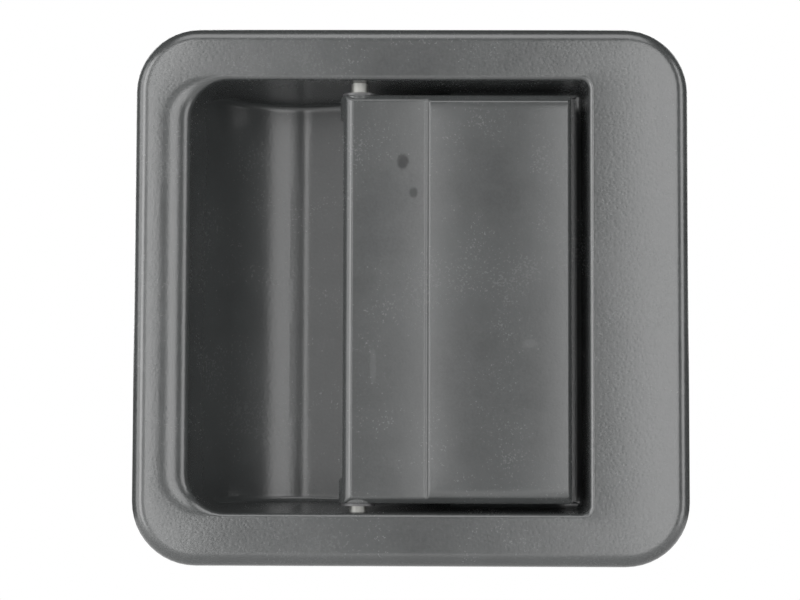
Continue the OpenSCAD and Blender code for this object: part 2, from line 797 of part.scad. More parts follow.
module bellcrank() {
    eye_r = peg_r + 1.5;
    bar_half = 3.5;
    tip_r = clip_hole_r + 2.5;
    color(steel_zinc) at_lever() difference() {
        union() {
            rod_x([0, 0], hub_r, hub_x0, hub_x1);
            rod_x([0, 0], hub_r + 1.5, lever_x, lever_x + lever_t);
            rod_x([0, peg_arm], eye_r, lever_x, lever_x + lever_t);
            rod_x([rod_arm, 0], tip_r, lever_x, lever_x + lever_t);
            block([lever_x, -bar_half, 0], [lever_x + lever_t, bar_half, peg_arm]);
            block([lever_x, 0, -bar_half - 1], [lever_x + lever_t, rod_arm, bar_half + 1]);
        }
        rod_x([0, 0], hub_bore_r, hub_x0 - over, hub_x1 + over);
        rod_x([0, peg_arm], peg_r, lever_x - over, lever_x + lever_t + over);
        rod_x([rod_arm, 0], clip_hole_r, lever_x - over, lever_x + lever_t + over);
    }
}

module lever_bush() {
    color(acetal_white) difference() {
        rod_x([pivot_y, pivot_z], hub_bore_r, hub_x0, hub_x1);
        rod_x([pivot_y, pivot_z], pivot_pin_r + running_gap, hub_x0 - over, hub_x1 + over);
    }
}

// Peg across the hook pin's path, riveted in the bellcrank
module lever_peg() {
    color(steel_zinc) at_lever() rod_x([0, peg_arm], peg_r, peg_x0, lever_x + lever_t);
}

// Clip that turns in the bellcrank's rod hole and hangs down along the latch rod
module rod_clip() {
    at = [tip_y, tip_z];
    flange_x = lever_x + lever_t + side_gap;
    flange_t = 2;
    flange_r = 6;
    strip_half = 3.5;
    holder_low = tip_z - 18;
    holder_high = tip_z - 10;
    channel_x = flange_x + flange_t + rod_r + 0.3;
    channel_r = rod_r + running_gap;
    holder_x1 = channel_x + rod_r;
    color(acetal_white) difference() {
        union() {
            rod_x(at, clip_bush_r, lever_x - side_gap, flange_x);
            rod_x(at, clip_bush_r + 0.5, lever_x - side_gap - 1, lever_x - side_gap);
            rod_x(at, flange_r, flange_x, flange_x + flange_t);
            block([flange_x, tip_y - strip_half, holder_low],
                  [flange_x + flange_t, tip_y + strip_half, tip_z]);
            block([flange_x, tip_y - strip_half, holder_low],
                  [holder_x1, tip_y + strip_half, holder_high]);
        }
        rod_x(at, channel_r, lever_x - side_gap - 2, flange_x + flange_t + over);
        rod_z([channel_x, tip_y], channel_r, holder_low - over, holder_high + over);
        block([channel_x, tip_y - channel_r * 0.8, holder_low - over],
              [holder_x1 + over, tip_y + channel_r * 0.8, holder_high + over]);
    }
}

// ---------- one line for each part ----------

housing();
gasket();
mounting_studs();
hinge_pin();
bump_stops();
arm_guide();
threaded_inserts();
lever_bracket();
bracket_screws();
bracket_washers();
pivot_pin();
pivot_clip();
return_spring();
paddle_shell();
paddle_inner_plate();
paddle_screws();
hinge_bushes();
release_arm();
arm_screws();
hook_pin();
bellcrank();
lever_bush();
lever_peg();
rod_clip();
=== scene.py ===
import json
import math

import bmesh
import bpy
import numpy as np
from bpy.props import FloatProperty, FloatVectorProperty, IntProperty, PointerProperty
from mathutils import Matrix, Vector


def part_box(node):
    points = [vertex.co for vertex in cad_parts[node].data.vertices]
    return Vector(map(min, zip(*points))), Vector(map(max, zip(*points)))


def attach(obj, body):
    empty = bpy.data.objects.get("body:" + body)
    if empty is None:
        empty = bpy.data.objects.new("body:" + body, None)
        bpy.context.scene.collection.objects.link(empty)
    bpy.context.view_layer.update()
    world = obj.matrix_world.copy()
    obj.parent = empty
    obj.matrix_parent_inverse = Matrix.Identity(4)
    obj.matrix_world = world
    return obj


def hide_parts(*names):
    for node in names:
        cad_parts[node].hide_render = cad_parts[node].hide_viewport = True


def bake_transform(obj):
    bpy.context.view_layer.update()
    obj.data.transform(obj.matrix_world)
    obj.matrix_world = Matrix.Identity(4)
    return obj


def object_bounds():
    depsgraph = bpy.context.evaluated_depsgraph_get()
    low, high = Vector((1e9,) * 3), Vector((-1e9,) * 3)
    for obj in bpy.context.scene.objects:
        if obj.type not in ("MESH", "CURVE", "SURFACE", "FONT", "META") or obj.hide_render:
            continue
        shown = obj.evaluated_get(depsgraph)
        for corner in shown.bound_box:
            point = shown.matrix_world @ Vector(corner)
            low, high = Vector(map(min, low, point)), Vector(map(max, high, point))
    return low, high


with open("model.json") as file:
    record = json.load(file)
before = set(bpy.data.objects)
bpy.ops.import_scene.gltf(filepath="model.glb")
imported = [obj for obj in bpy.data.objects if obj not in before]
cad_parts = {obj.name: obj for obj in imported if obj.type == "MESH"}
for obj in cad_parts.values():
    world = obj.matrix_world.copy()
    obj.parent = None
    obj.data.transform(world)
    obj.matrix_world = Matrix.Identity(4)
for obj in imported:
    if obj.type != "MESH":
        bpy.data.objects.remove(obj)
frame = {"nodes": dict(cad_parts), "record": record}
CAD_LOW, CAD_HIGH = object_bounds()

bl_info = {
    "name": "Recessed Door Handle",
    "version": (1, 0, 0),
    "blender": (4, 5, 0),
    "location": "View3D > Sidebar > Door Handle",
    "description": "Builds the moulded, sprung and threaded pieces of a recessed door handle",
    "category": "Object",
}

MM = 0.001
SIDE_STEPS = 48
PLAIN_GLOSS = 0.5
RECESS_GLOSS = 0.42
HOUSING_LOW, HOUSING_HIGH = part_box("housing")
GASKET_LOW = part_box("gasket")[0]
SHELL_LOW, SHELL_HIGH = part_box("paddle_shell")
PIN_LOW, PIN_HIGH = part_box("hinge_pin")
HINGE = ((PIN_LOW.x + PIN_HIGH.x) / 2, (PIN_LOW.y + PIN_HIGH.y) / 2)
PADDLE_LEFT = HINGE[0] - 0.0037
JOINT_AT = {j["name"]: Vector(j["pos_m"]) for j in frame["record"]["behaviour"]["joints"]}


# ---------------------------------------------------------------- settings


def length(name, text, value, low=0.0001, high=0.2):
    """A size in metres."""
    return FloatProperty(
        name=name, description=text, default=value, min=low, max=high, unit="LENGTH", precision=5
    )


class PlateSizes(bpy.types.PropertyGroup):
    """Sizes of the moulded plate and its finger recess."""

    flank_left: length("Left flank", "Width of the plate left of the recess", 0.013)
    flank_right: length("Right flank", "Width of the plate right of the recess", 0.0235)
    flank_ends: length("End flanks", "Width of the plate above and below the recess", 0.0124)
    corner: length("Plate corner", "Radius of the plate's corners", 0.015)
    rim: length("Rim rounding", "Radius of the rounding round the plate", 0.0035)
    lip_left: length("Left lip depth", "Depth of the lip where the fingers enter", 0.0033)
    lip_width: length("Left lip width", "Width of the lip where the fingers enter", 0.007)
    lip: length("Other lips", "Radius of the lip on the other sides", 0.0013)
    corner_left: length("Recess corner, left", "Radius of the recess corners at the left", 0.009)
    corner_right: length("Recess corner, right", "Radius of the corners at the right", 0.002)
    scoop: length("Scoop width", "Width of the curved left wall", 0.026)
    scoop_top: length("Scoop start", "Depth where the left wall starts to curve", 0.004)
    depth: length("Recess depth", "Depth from the face to the lowest floor", 0.028)
    raised: length("Raised floor", "Depth of the floor under the paddle", 0.014)
    wall: length("Wall", "Thickness of the moulded walls", 0.0025)
    fillet: length("Floor fillet", "Fillet where walls meet the floor", 0.0016)
    step_inset: length("Step", "Distance from the paddle's left edge to the floor's step", 0.025)
    slope: FloatProperty(name="Floor slope", description="Rise of the floor", default=0.208)
    draft: FloatProperty(
        name="Draft", description="Slope of the top and bottom walls",
        default=math.radians(4), subtype="ANGLE",
    )


class PaddleSizes(bpy.types.PropertyGroup):
    """Sizes of the pull paddle."""

    edge: length("Left edge", "Radius of the edge beside the fingers", 0.0023)
    right_edge: length("Right edge", "Radius of the free edge", 0.0004)
    chamfer: length("End chamfer", "Chamfer of the top and bottom ends", 0.0014)
    left_facet: length("Left facet", "Width of the lower facet", 0.0201)
    step: length("Facet step", "Height of the step between the facets", 0.0004)
    right_chamfer: length("Right chamfer", "Width of the chamfer at the free edge", 0.0011)
    knuckle: length("Knuckle radius", "Outer radius of the hinge knuckles", 0.0045)
    knuckle_length: length("Knuckle length", "Length of a hinge knuckle", 0.0058)


class HardwareSizes(bpy.types.PropertyGroup):
    """Sizes of the threads and the spring."""

    pitch: length("Thread pitch", "Pitch of the stud threads", 0.001)
    wire: length("Spring wire", "Radius of the return spring's wire", 0.00055)
    turns: IntProperty(name="Spring turns", description="Turns of the spring", default=4, min=2)


class Finishes(bpy.types.PropertyGroup):
    """Colours and surface of the finishes."""

    plastic: FloatVectorProperty(
        name="Plastic", description="Colour of the moulded plastic", subtype="COLOR",
        size=3, default=(0.025, 0.0265, 0.0265), min=0, max=1,
    )
    plastic_roughness: FloatProperty(
        name="Plastic roughness", description="Roughness of the grained plastic",
        default=0.25, min=0, max=1, subtype="FACTOR",
    )
    face_extra: FloatProperty(
        name="Face gloss", description="How much the outer face's gloss is raised",
        default=0.12, min=0, max=1, subtype="FACTOR",
    )
    paddle_roughness: FloatProperty(
        name="Paddle roughness", description="Roughness of the smoother paddle",
        default=0.25, min=0, max=1, subtype="FACTOR",
    )
    grain: length("Grain size", "Size of the moulded grain", 0.0006)
    zinc: FloatVectorProperty(
        name="Zinc", description="Colour of zinc-plated steel", subtype="COLOR",
        size=3, default=(0.58, 0.58, 0.55), min=0, max=1,
    )
    acetal: FloatVectorProperty(
        name="Acetal", description="Colour of natural acetal", subtype="COLOR",
        size=3, default=(0.72, 0.70, 0.62), min=0, max=1,
    )


class Studio(bpy.types.PropertyGroup):
    """Camera and light."""

    distance: length("Camera distance", "From the camera to the plate", 0.48, 0.1, 3)
    lens: FloatProperty(name="Lens", description="Focal length in mm", default=92.77)
    azimuth: FloatProperty(
        name="Azimuth", description="Turn of the camera to the right",
        default=math.radians(0.6), subtype="ANGLE",
    )
    elevation: FloatProperty(
        name="Elevation", description="Height angle of the camera",
        default=math.radians(-3.5), subtype="ANGLE",
    )
    roll: FloatProperty(
        name="Roll", description="Roll of the camera", default=math.radians(0.18), subtype="ANGLE"
    )
    aim_x: FloatProperty(name="Aim X", description="Aim point", default=-0.00255, unit="LENGTH")
    aim_z: FloatProperty(name="Aim Z", description="Aim point", default=-0.0011, unit="LENGTH")
    world: FloatProperty(name="Surround", description="Light from the surround", default=0.06)
    reach: length("Softbox distance", "From the handle to each softbox", 0.9, 0.3, 3)


# ---------------------------------------------------------------- mesh helpers


class Solid:
    """Collects points and faces of one or more closed shells."""

    def __init__(self):
        self.points = []
        self.faces = []

    def add(self, points, faces):
        """Adds a shell whose faces count from its own first point."""
        start = len(self.points)
        self.points.extend(tuple(p) for p in points)
        self.faces.extend(tuple(i + start for i in f) for f in faces)

    def rings(self, rings, close=False):
        """Adds a skin between closed rings that have the same number of points."""
        count = len(rings[0])
        faces = []
        pairs = len(rings) if close else len(rings) - 1
        for k in range(pairs):
            a = k * count
            b = (k + 1) % len(rings) * count
            for i in range(count):
                j = (i + 1) % count
                faces.append((a + i, a + j, b + j, b + i))
        self.add([p for ring in rings for p in ring], faces)

    def cap(self, ring):
        """Adds one face over a ring."""
        self.add(ring, [tuple(range(len(ring)))])

    def tube(self, rings):
        """Adds a skin between rings with both ends capped."""
        self.rings(rings)
        self.cap(rings[0])
        self.cap(rings[-1])

    def make(self, name, merge=2e-6):
        """Turns what was collected into an object, with doubles merged and normals made consistent.
        """
        mesh = bpy.data.meshes.new(name)
        mesh.from_pydata(self.points, [], self.faces)
        shape = bmesh.new()
        shape.from_mesh(mesh)
        bmesh.ops.remove_doubles(shape, verts=shape.verts, dist=merge)
        bmesh.ops.dissolve_degenerate(shape, edges=shape.edges, dist=merge / 2)
        bmesh.ops.recalc_face_normals(shape, faces=shape.faces)
        shape.to_mesh(mesh)
        shape.free()
        made = bpy.data.objects.new(name, mesh)
        bpy.context.collection.objects.link(made)
        return made


def shade(made, degrees=32):
    """Smooth shading with sharp edges kept above an angle."""
    mesh = made.data
    mesh.shade_smooth()
    mesh.set_sharp_from_angle(angle=math.radians(degrees))
    return made


def outline(x0, x1, z0, z1, r_left, r_right, corner_steps=12, side_steps=SIDE_STEPS):
    """Points of a rounded rectangle and their outward normals, as two arrays of x and z."""
    corners = (
        (x1 - r_right, z1 - r_right, r_right, 0),
        (x0 + r_left, z1 - r_left, r_left, 90),
        (x0 + r_left, z0 + r_left, r_left, 180),
        (x1 - r_right, z0 + r_right, r_right, 270),
    )
    points = []
    normals = []
    for index, (cx, cz, r, start) in enumerate(corners):
        for step in range(corner_steps + 1):
            a = math.radians(start + 90 * step / corner_steps)
            points.append((cx + r * math.cos(a), cz + r * math.sin(a)))
            normals.append((math.cos(a), math.sin(a)))
        nx, nz, nr, ns = corners[(index + 1) % 4]
        a = math.radians(ns)
        end = (nx + nr * math.cos(a), nz + nr * math.sin(a))
        last = points[-1]
        for step in range(1, side_steps):
            t = step / side_steps
            points.append((last[0] + (end[0] - last[0]) * t, last[1] + (end[1] - last[1]) * t))
            normals.append((math.cos(a), math.sin(a)))
    return np.array(points), np.array(normals)


def ring_at(points, y):
    """Lifts x, z points to 3D at one y, or at a y for each point."""
    ys = np.broadcast_to(y, (len(points),))
    return [(p[0], q, p[1]) for p, q in zip(points, ys)]


def soft_min(a, b, k):
    """The smaller of two values, blended over k."""
    k = np.maximum(k, 1e-9)
    h = np.maximum(k - np.abs(a - b), 0) / k
    return np.minimum(a, b) - h * h * k / 4


def lathe(solid, profile, centre, axis="Y", steps=40):
    """Turns (distance along axis, radius) pairs round an axis, with both ends capped."""
    rings = []
    for along, r in profile:
        ring = []
        for step in range(steps):
            a = 2 * math.pi * step / steps
            u = r * math.cos(a)
            v = r * math.sin(a)
            if axis == "X":
                ring.append((centre[0] + along, centre[1] + u, centre[2] + v))
            elif axis == "Y":
                ring.append((centre[0] + u, centre[1] + along, centre[2] + v))
            else:
                ring.append((centre[0] + u, centre[1] + v, centre[2] + along))
        rings.append(ring)
    solid.tube(rings)


def soft_block(solid, low, high, radius, taper=0.0):
    """Adds a box with rounded edges; taper narrows its far Y end."""
    shape = bmesh.new()
    bmesh.ops.create_cube(shape, size=1)
    low = Vector(low)
    high = Vector(high)
    middle = (low + high) / 2
    size = high - low
    for v in shape.verts:
        thin = 1 - taper if v.co.y > 0 else 1
        v.co = Vector((v.co.x * size.x * thin, v.co.y * size.y, v.co.z * size.z * thin)) + middle
    bmesh.ops.bevel(
        shape, geom=list(shape.edges), offset=radius, segments=2, profile=0.5, affect="EDGES"
    )
    shape.verts.index_update()
    solid.add([v.co[:] for v in shape.verts], [[v.index for v in f.verts] for f in shape.faces])
    shape.free()


def sweep(solid, path, radius, sides=12):
    """Sweeps a round wire along a path of points."""
    path = [Vector(p) for p in path]
    normal = (path[1] - path[0]).orthogonal().normalized()
    rings = []
    for i, point in enumerate(path):
        ahead = path[min(i + 1, len(path) - 1)] - path[max(i - 1, 0)]
        tangent = ahead.normalized()
        normal = (normal - tangent * normal.dot(tangent)).normalized()
        side = tangent.cross(normal)
        rings.append([
            point + radius * (math.cos(a) * normal + math.sin(a) * side)
            for a in (2 * math.pi * s / sides for s in range(sides))
        ])
    solid.tube(rings)


def cut(made, cutter):
    """Cuts one object out of another, and removes the cutter."""
    modifier = made.modifiers.new("Cut", "BOOLEAN")
    modifier.operation = "DIFFERENCE"
    modifier.solver = "EXACT"
    modifier.object = cutter
    bpy.context.view_layer.update()
    result = bpy.data.meshes.new_from_object(
        made.evaluated_get(bpy.context.evaluated_depsgraph_get())
    )
    made.modifiers.clear()
    made.data = result
    bpy.data.objects.remove(cutter)


def join(made, extra):
    """Moves another object's mesh into the first one."""
    shape = bmesh.new()
    shape.from_mesh(made.data)
    shape.from_mesh(extra.data)
    shape.to_mesh(made.data)
    shape.free()
    bpy.data.objects.remove(extra)


def place(made, body, slot, material, *nodes):
    """Gives a finished piece its body, its finish and the CAD nodes that it stands for."""
    made.data.materials.clear()
    made.data.materials.append(material)
    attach(made, body)
    if nodes:
        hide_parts(*nodes)


# ---------------------------------------------------------------- materials


class Nodes:
    """Short ways to add shader nodes to a material."""

    def __init__(self, name):
        self.material = bpy.data.materials.new(name)
        self.material.use_nodes = True
        self.tree = self.material.node_tree
        self.shader = self.tree.nodes["Principled BSDF"]
        self.coords = self.tree.nodes.new("ShaderNodeTexCoord").outputs["Object"]

    def node(self, kind, **values):
        made = self.tree.nodes.new(kind)
        for name, value in values.items():
            if name in made.inputs:
                made.inputs[name].default_value = value
            else:
                setattr(made, name, value)
        return made

    def link(self, source, target):
        self.tree.links.new(source, target)

    def noise(self, size, detail=4.0, rough=0.55, vector=None):
        """Noise whose features are about size metres across, from 0 to 1."""
        made = self.node("ShaderNodeTexNoise", Scale=1 / size, Detail=detail, Roughness=rough)
        self.link(vector or self.coords, made.inputs["Vector"])
        return made.outputs["Fac"]

    def cells(self, size):
        """Distance to the nearest point of a scatter with a spacing of about size."""
        made = self.node("ShaderNodeTexVoronoi", Scale=1 / size)
        self.link(self.coords, made.inputs["Vector"])
        return made.outputs["Distance"]

    def maths(self, operation, a, b=None, c=None):
        """One Math node on sockets or numbers."""
        made = self.node("ShaderNodeMath", operation=operation)
        for socket, value in zip(made.inputs, (a, b, c)):
            if value is None:
                continue
            if isinstance(value, (int, float)):
                socket.default_value = value
            else:
                self.link(value, socket)
        return made.outputs[0]

    def span(self, value, from_low, from_high, to_low, to_high):
        """Maps a value from one range to another, smoothly and clamped."""
        made = self.node("ShaderNodeMapRange", interpolation_type="SMOOTHSTEP")
        self.link(value, made.inputs["Value"])
        for name, number in (
            ("From Min", from_low), ("From Max", from_high), ("To Min", to_low), ("To Max", to_high)
        ):
            made.inputs[name].default_value = number
        return made.outputs["Result"]

    def tint(self, factor, dark, light):
        """Colour between two colours."""
        made = self.node("ShaderNodeMix", data_type="RGBA")
        self.link(factor, made.inputs["Factor"])
        made.inputs[6].default_value = (*dark, 1)
        made.inputs[7].default_value = (*light, 1)
        return made.outputs[2]

    def bump(self, height, distance, strength=1.0, after=None):
        """A bump of the given height in metres, on top of an earlier one."""
        made = self.node("ShaderNodeBump", Strength=strength, Distance=distance)
        self.link(height, made.inputs["Height"])
        if after:
            self.link(after, made.inputs["Normal"])
        return made.outputs["Normal"]

    def finish(self, colour, roughness, normal):
        self.link(colour, self.shader.inputs["Base Color"])
        self.link(roughness, self.shader.inputs["Roughness"])
        self.link(normal, self.shader.inputs["Normal"])
        return self.material


def shaded(colour, factor):
    """A colour made lighter or darker."""
    return tuple(min(c * factor, 1) for c in colour)


def near(nodes, x, z, reach_x, reach_z, ragged):
    """A soft spot on the front at x, z: 1 in its middle and 0 past its reach."""
    split = nodes.node("ShaderNodeSeparateXYZ")
    nodes.link(nodes.coords, split.inputs[0])
    dx = nodes.maths("DIVIDE", nodes.maths("SUBTRACT", split.outputs[0], x), reach_x)
    dz = nodes.maths("DIVIDE", nodes.maths("SUBTRACT", split.outputs[2], z), reach_z)
    squares = nodes.maths("ADD", nodes.maths("POWER", dx, 2.0), nodes.maths("POWER", dz, 2.0))
    rough = nodes.maths("MULTIPLY_ADD", nodes.noise(reach_x, 3), ragged, squares)
    return nodes.span(rough, 0.25 + ragged / 2, 1.0 + ragged / 2, 1.0, 0.0)


def moulded_plastic(name, colour, roughness, grain, grain_height, marks=(), face_extra=0.0):
    """Dark moulded plastic with fine grain, faint mottling and soft marks.

    With face_extra, the outer face has more gloss than usual and the recess a little less.
    """
    nodes = Nodes(name)
    mottle = nodes.noise(0.018, 5)
    fine = nodes.noise(grain, 3, 0.6)
    pits = nodes.span(nodes.cells(grain * 1.6), 0.1, 0.6, 0.0, 1.0)
    colour_now = nodes.tint(nodes.span(mottle, 0.3, 0.7, 0, 1), shaded(colour, 0.9),
                            shaded(colour, 1.1))
    speckle = nodes.maths("MULTIPLY_ADD", fine, 0.36, 0.82)
    mixed = nodes.node("ShaderNodeMix", data_type="RGBA", blend_type="MULTIPLY")
    mixed.inputs["Factor"].default_value = 1.0
    nodes.link(colour_now, mixed.inputs[6])
    nodes.link(speckle, mixed.inputs[7])
    colour_now = mixed.outputs[2]
    gloss = PLAIN_GLOSS
    for x, z, reach_x, reach_z, strength, ragged, mark, gloss_change in marks:
        spot = nodes.maths("MULTIPLY", near(nodes, x, z, reach_x, reach_z, ragged), strength)
        over = nodes.node("ShaderNodeMix", data_type="RGBA")
        nodes.link(spot, over.inputs["Factor"])
        nodes.link(colour_now, over.inputs[6])
        over.inputs[7].default_value = (*mark, 1)
        colour_now = over.outputs[2]
        gloss = nodes.maths("MULTIPLY_ADD", spot, gloss_change, gloss)
    if marks:
        nodes.link(gloss, nodes.shader.inputs["Specular IOR Level"])
    rough = nodes.maths("ADD", nodes.maths("MULTIPLY_ADD", mottle, 0.10, roughness - 0.05),
                        nodes.maths("MULTIPLY_ADD", fine, 0.12, -0.06))
    if face_extra:
        split = nodes.node("ShaderNodeSeparateXYZ")
        nodes.link(nodes.coords, split.inputs[0])
        nodes.link(nodes.span(
            split.outputs[1], HOUSING_LOW.y + 0.0006, HOUSING_LOW.y + 0.003,
            PLAIN_GLOSS + face_extra, RECESS_GLOSS), nodes.shader.inputs["Specular IOR Level"])
    coarse = nodes.bump(nodes.noise(0.012, 2), 0.00006, 0.2)
    normal = nodes.bump(pits, grain_height, 0.6, coarse)
    normal = nodes.bump(fine, grain_height, 0.8, normal)
    return nodes.finish(colour_now, rough, normal)


def plated_steel(name, colour, roughness):
    """Plated or bare steel with a rolled streak, fine pitting and small stains."""
    nodes = Nodes(name)
    nodes.shader.inputs["Metallic"].default_value = 1.0
    stretch = nodes.node("ShaderNodeMapping")
    stretch.inputs["Scale"].default_value = (1.0, 1.0, 0.08)
    nodes.link(nodes.coords, stretch.inputs["Vector"])
    streaks = nodes.noise(0.0008, 3, 0.6, stretch.outputs[0])
    cloud = nodes.noise(0.006, 5)
    colour_now = nodes.tint(nodes.span(cloud, 0.3, 0.7, 0, 1), shaded(colour, 0.82),
                            shaded(colour, 1.08))
    rough = nodes.maths("ADD", nodes.maths("MULTIPLY_ADD", cloud, 0.22, roughness - 0.11),
                        nodes.maths("MULTIPLY_ADD", streaks, 0.12, -0.06))
    normal = nodes.bump(streaks, 0.00002, 0.5)
    normal = nodes.bump(nodes.noise(0.0005, 3), 0.000015, 0.5, normal)
    return nodes.finish(colour_now, rough, normal)


def soft_moulding(name, colour, roughness, pore, pore_height, subsurface=0.0, pore_tone=0.72):
    """Acetal, rubber or foam: plain moulded stuff with pores and faint cloudiness."""
    nodes = Nodes(name)
    nodes.shader.inputs["Subsurface Weight"].default_value = subsurface
    nodes.shader.inputs["Subsurface Scale"].default_value = 0.001
    cloud = nodes.noise(0.01, 4)
    pores = nodes.span(nodes.cells(pore), 0.05, 0.5, 0.0, 1.0)
    colour_now = nodes.tint(nodes.maths("MULTIPLY", pores, nodes.span(cloud, 0.2, 0.8, 0.6, 1)),
                            shaded(colour, pore_tone), shaded(colour, 1.05))
    rough = nodes.maths("MULTIPLY_ADD", cloud, 0.16, roughness - 0.08)
    normal = nodes.bump(pores, pore_height, 0.7)
    return nodes.finish(colour_now, rough, normal)


MATERIALS = {}


def make_materials(finishes):
    """One material for each slot of the record, and a duller one for the hinge pin."""
    smear = shaded(finishes.plastic, 0.35)
    pale = shaded(finishes.plastic, 1.7)
    # Place, reach, strength, raggedness, colour and change of gloss
    paddle_marks = (
        (-0.0020, 0.0314, 0.0016, 0.0022, 0.75, 0.9, smear, -0.3),
        (0.0006, 0.0241, 0.0012, 0.0015, 0.65, 0.9, smear, -0.3),
        (-0.0088, -0.0165, 0.0009, 0.0050, 0.35, 1.2, pale, 0.15),
        (0.0277, -0.0112, 0.0022, 0.0012, 0.35, 1.0, pale, 0.15),
    )
    plastic = finishes.plastic
    MATERIALS.update({
        "housing_plastic": moulded_plastic(
            "grained_black_plastic", plastic, finishes.plastic_roughness, finishes.grain, 0.000012,
            face_extra=finishes.face_extra),
        "paddle_plastic": moulded_plastic(
            "smooth_black_plastic", plastic, finishes.paddle_roughness, finishes.grain * 0.8,
            0.000005, paddle_marks),
        "foam": soft_moulding("closed_cell_foam", (0.035, 0.035, 0.036), 0.9, 0.0009, 0.00015),
        "zinc_steel": plated_steel("zinc_plated_steel", finishes.zinc, 0.42),
        "hinge_pin": plated_steel("dulled_zinc_steel", shaded(finishes.zinc, 0.42), 0.55),
        "spring_steel": plated_steel("oiled_spring_steel", (0.30, 0.31, 0.33), 0.3),
        "acetal": soft_moulding("natural_acetal", finishes.acetal, 0.42, 0.0006, 0.000006, 0.2, 0.94),
        "black_acetal": soft_moulding(
            "black_acetal", (0.03, 0.03, 0.031), 0.45, 0.0006, 0.000006),
        "rubber": soft_moulding("matt_rubber", (0.03, 0.03, 0.03), 0.75, 0.0006, 0.00003),
        "brass": plated_steel("turned_brass", (0.72, 0.53, 0.24), 0.28),
    })


# ---------------------------------------------------------------- plate


class Recess:
    """The recess's shape: how deep each point lies, from sizes and the CAD box."""

    half_step = 0.0004
    left_columns = 31
    left_steepness = 60
    right_steepness = 19

    def __init__(self, sizes, grow):
        self.s = sizes
        self.grow = grow
        self.face = HOUSING_LOW.y + (sizes.wall if grow else 0)
        self.left = HOUSING_LOW.x + sizes.flank_left - grow
        self.right = HOUSING_HIGH.x - sizes.flank_right + grow
        self.top = HOUSING_HIGH.z - sizes.flank_ends + grow
        self.r_left = sizes.corner_left + grow
        self.r_right = sizes.corner_right + grow
        self.scoop_end = HOUSING_LOW.x + sizes.flank_left + sizes.scoop
        self.step = PADDLE_LEFT + sizes.step_inset + grow

    def outline(self, inset=0.0):
        """The recess's edge moved inward, and its outward normals."""
        tiny = 1e-5
        points, normals = outline(
            self.left + inset, self.right - inset, -self.top + inset, self.top - inset,
            max(self.r_left - inset, tiny), max(self.r_right - inset, tiny),
        )
        top = np.flatnonzero(normals[:, 1] > 0.9999)
        bottom = np.flatnonzero(normals[:, 1] < -0.9999)
        points[top, 0] = self.columns(points[top[-1], 0], points[top[0], 0])[::-1]
        points[bottom, 0] = self.columns(points[bottom[0], 0], points[bottom[-1], 0])
        return points, normals

    def columns(self, low, high):
        """Places along x for one side, with two of them at the edges of the floor's step."""
        rest = SIDE_STEPS + 1 - self.left_columns
        return np.concatenate((np.linspace(low, self.step - self.half_step, self.left_columns),
                               np.linspace(self.step + self.half_step, high, rest)))

    def lip(self, normals, left_size):
        """Size of the lip at each point: large at the left, small elsewhere."""
        if self.grow:
            return np.zeros(len(normals))
        to_left = np.clip(-normals[:, 0], 0, 1) ** 2
        return self.s.lip + (left_size - self.s.lip) * to_left

    def floor(self, x):
        """Depth of the floor along x: scoop, slope, step and raised floor."""
        s = self.s
        lip_y = HOUSING_LOW.y + s.scoop_top
        a = s.scoop + self.grow
        b = s.depth - s.scoop_top + self.grow
        across = np.clip((self.scoop_end - x) / a, 0, 1)
        scoop = lip_y + b * np.sqrt(np.maximum(1 - across**2, 0))
        slope = lip_y + b - (x - self.scoop_end) * s.slope
        deep = np.where(x < self.scoop_end, scoop, slope)
        raised = HOUSING_LOW.y + s.raised + self.grow
        t = np.clip((x - self.step + self.half_step) / (2 * self.half_step), 0, 1)
        return deep + (raised - deep) * t * t * (3 - 2 * t)

    def depth(self, points, normals, inset):
        """Y of the recess's surface at points that lie inset from its edge."""
        nx = normals[:, 0]
        nz2 = normals[:, 1] ** 2
        left = np.clip(-nx, 0, 1) ** 2
        right = np.clip(nx, 0, 1) ** 2
        steep = (nz2 / math.tan(self.s.draft) + left * self.left_steepness
                 + right * self.right_steepness)
        top = self.face + self.lip(normals, self.s.lip_left)
        floor = self.floor(points[:, 0])
        r = self.s.fillet
        past = np.clip(inset - (floor - top) / steep, 0, r)
        floor = floor - (r - np.sqrt(r**2 - (r - past) ** 2)) * (1 - left)
        return soft_min(top + steep * inset, floor, r * 0.4 * (1 - left))

    def rings(self):
        """Rings from the recess's edge in to its middle rectangle."""
        made = []
        reach = 0.022
        steps = 46
        for step in range(steps + 1):
            t = step / steps
            inset = reach * (0.16 * t + 0.84 * t**2.6)
            points, normals = self.outline(inset)
            made.append(ring_at(points, self.depth(points, normals, inset)))
        return made, reach

    def middle(self, solid, reach, count=SIDE_STEPS):
        """Fills the rectangle inside the last ring."""
        xs = self.columns(self.left + reach, self.right - reach)
        zs = np.linspace(-self.top + reach, self.top - reach, count + 1)
        ys = self.floor(xs)
        points = [(x, y, z) for z in zs for x, y in zip(xs, ys)]
        faces = []
        for j in range(count):
            for i in range(count):
                a = j * (count + 1) + i
                faces.append((a, a + 1, a + count + 2, a + count + 1))
        solid.add(points, faces)


def plate_ring(sizes, inset, y):
    """A ring round the plate, moved inward."""
    r = sizes.corner - inset
    points, _ = outline(
        HOUSING_LOW.x + inset, HOUSING_HIGH.x - inset,
        HOUSING_LOW.z + inset, HOUSING_HIGH.z - inset, r, r,
    )
    return ring_at(points, y)


